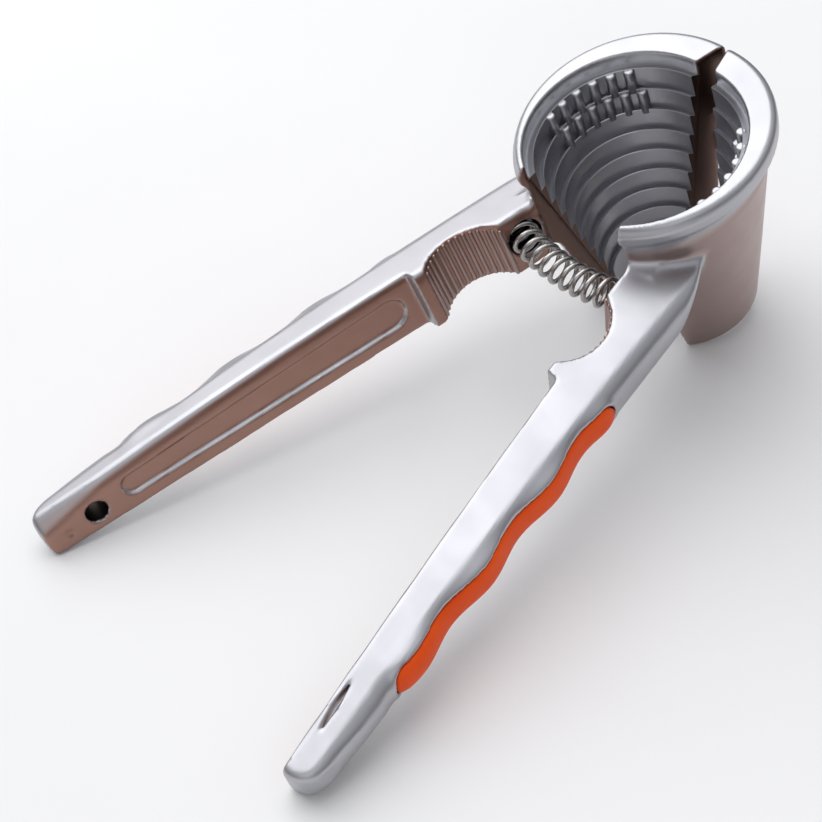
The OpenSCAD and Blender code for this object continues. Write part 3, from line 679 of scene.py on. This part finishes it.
def grip_ring(t):
    """Section of a grip: a flat back in the seat and a front that follows the waving metal."""
    a, b, r = GRIP_FROM + GRIP_HALF, GRIP_TO - GRIP_HALF, GRIP_HALF - GRIP_GAP
    away = max(0.0, a - t, t - b)
    half = math.sqrt(max(0.09, r * r - away * away))
    v = -np.cos(np.linspace(0, np.pi, GRIP_ACROSS))
    z = grip_middle(t) + half * v
    share = min(1.0, half / r)
    rise = ((0.26 - 0.2 * v) * (1 - v ** 4) - 0.25 * v ** 8) * share - 0.3 * (1 - share)
    e = skin(t, z) + WAVE * wave(t) + rise
    e = np.concatenate([[-GRIP_DEEP + 0.1], e, [-GRIP_DEEP + 0.1]])
    z = np.concatenate([[z[0]], z, [z[-1]]])
    c, n = math.cos(TAPER), math.sin(TAPER)
    return np.stack([ROOT_W + e * c - t * n, ROOT + e * n + t * c, z], -1)


# Grips: rings along the outer line, closer together at both ends
for name, side in (("left", -1), ("right", 1)):
    f = (1 - np.cos(np.linspace(0, np.pi, GRIP_STATIONS))) / 2
    length = GRIP_TO - GRIP_FROM - 2 * GRIP_GAP
    stations = GRIP_FROM + GRIP_GAP + length * (0.5 * f + 0.5 * np.linspace(0, 1, GRIP_STATIONS))
    rings = np.array([grip_ring(t) for t in stations])
    rings = lay(from_handle(rings[..., 0], rings[..., 1], rings[..., 2], side))
    points, faces = ring_tube(rings)
    if side < 0:
        faces = [f[::-1] for f in faces]
    grip = mesh_object(name + "_grip_rubber", points, faces)
    grip.data.materials.append(RUBBER)
    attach(grip, name)
    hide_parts(name + "_grip")

# Spring: a helix round an arc about the hinge
reach = TURN + (SEAT_DEEP - 0.3 - WIRE_R) / SPRING_REACH


def wire_at(f):
    """Middle of the wire and of the coil, at a share of the spring's length."""
    turn, arc = 2 * np.pi * TURNS * f, reach * (2 * f - 1)
    r = SPRING_REACH + COIL_R * np.cos(turn)
    line = np.stack([r * np.sin(arc), PIVOT_Y - r * np.cos(arc), SPRING_Z + COIL_R * np.sin(turn)], -1)
    hub = np.stack([SPRING_REACH * np.sin(arc), PIVOT_Y - SPRING_REACH * np.cos(arc), SPRING_Z + 0 * arc], -1)
    return line, hub


f = np.linspace(0, 1, TURNS * 24 + 1)
line, hub = wire_at(f)
ahead = np.gradient(line, axis=0)
ahead /= np.linalg.norm(ahead, axis=1, keepdims=True)
out = (line - hub) - ((line - hub) * ahead).sum(1, keepdims=True) * ahead
out /= np.linalg.norm(out, axis=1, keepdims=True)
side = np.cross(ahead, out)
angle = np.linspace(0, 2 * np.pi, 12, endpoint=False)
angle = angle[None, :, None]
rings = line[:, None] + WIRE_R * (np.cos(angle) * out[:, None] + np.sin(angle) * side[:, None])
points, faces = ring_tube(lay(rings))
spring = mesh_object("spring_wire", points, faces)
spring.data.materials.append(WIRE)
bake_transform(spring)
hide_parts("return_spring")

# Pin: the part's own solid
pin = frame["nodes"]["hinge_pin"]
pin.data.materials.clear()
pin.data.materials.append(PIN)

# Camera, at the photograph's place
CAM_AT = (200.6, -147.1, 316.9)
CAM_BACK, CAM_UP = (0.571, -0.218, 0.792), (-0.493, 0.680, 0.5425)
back = Vector(turn_about_x(CAM_BACK)).normalized()
up = Vector(turn_about_x(CAM_UP))
right = up.cross(back).normalized()
up = back.cross(right)
camera = bpy.data.objects.new("camera", bpy.data.cameras.new("camera"))
facing = Matrix((right, up, back)).transposed().to_4x4()
camera.matrix_world = Matrix.Translation(Vector(lay(CAM_AT))) @ facing
camera.data.lens, camera.data.sensor_width = 80.05, 36.0
camera.data.clip_start, camera.data.clip_end = 0.01, 20.0
bpy.context.scene.collection.objects.link(camera)
bpy.context.scene.camera = camera

# Floor and soft light
floor = mesh_object("floor", [(-3, -3, 0), (3, -3, 0), (3, 3, 0), (-3, 3, 0)], [(0, 1, 2, 3)])
paper, nodes, links, shader = node_material("pale_paper")
coords = nodes.new("ShaderNodeTexCoord").outputs["Object"]
links.new(tinted(nodes, links, noise(nodes, links, coords, 12, 3), (0.83, 0.83, 0.83), (0.85, 0.85, 0.85)),
          shader.inputs["Base Color"])
shader.inputs["Roughness"].default_value = 0.9
floor.data.materials.append(paper)


def area_light(name, place, target, size, power):
    lamp = bpy.data.lights.new(name, "AREA")
    lamp.shape, lamp.size, lamp.size_y = "RECTANGLE", size[0], size[1]
    lamp.energy = power
    obj = bpy.data.objects.new(name, lamp)
    obj.location = place
    obj.rotation_mode = "QUATERNION"
    obj.rotation_quaternion = (Vector(target) - Vector(place)).to_track_quat("-Z", "Y")
    bpy.context.scene.collection.objects.link(obj)


area_light("key", (-0.55, 0.06, 0.95), (0, 0, 0.02), (1.2, 1.8), 12.5)
area_light("fill", (0.75, -0.65, 0.55), (0, 0, 0.03), (0.5, 0.9), 0.9)

# Surroundings: dim at the horizon, lighter overhead
world = bpy.data.worlds.new("studio")
world.use_nodes = True
nodes, links = world.node_tree.nodes, world.node_tree.links
height = nodes.new("ShaderNodeSeparateXYZ")
links.new(nodes.new("ShaderNodeTexCoord").outputs["Generated"], height.inputs["Vector"])
ramp = nodes.new("ShaderNodeValToRGB")
ramp.color_ramp.elements[0].position, ramp.color_ramp.elements[0].color = 0.0, (0.12, 0.105, 0.095, 1)
ramp.color_ramp.elements[1].position, ramp.color_ramp.elements[1].color = 0.75, (0.60, 0.61, 0.64, 1)
links.new(height.outputs["Z"], ramp.inputs["Fac"])
links.new(ramp.outputs["Color"], nodes["Background"].inputs["Color"])
bpy.context.scene.world = world
bpy.context.scene.view_settings.view_transform = "Standard"
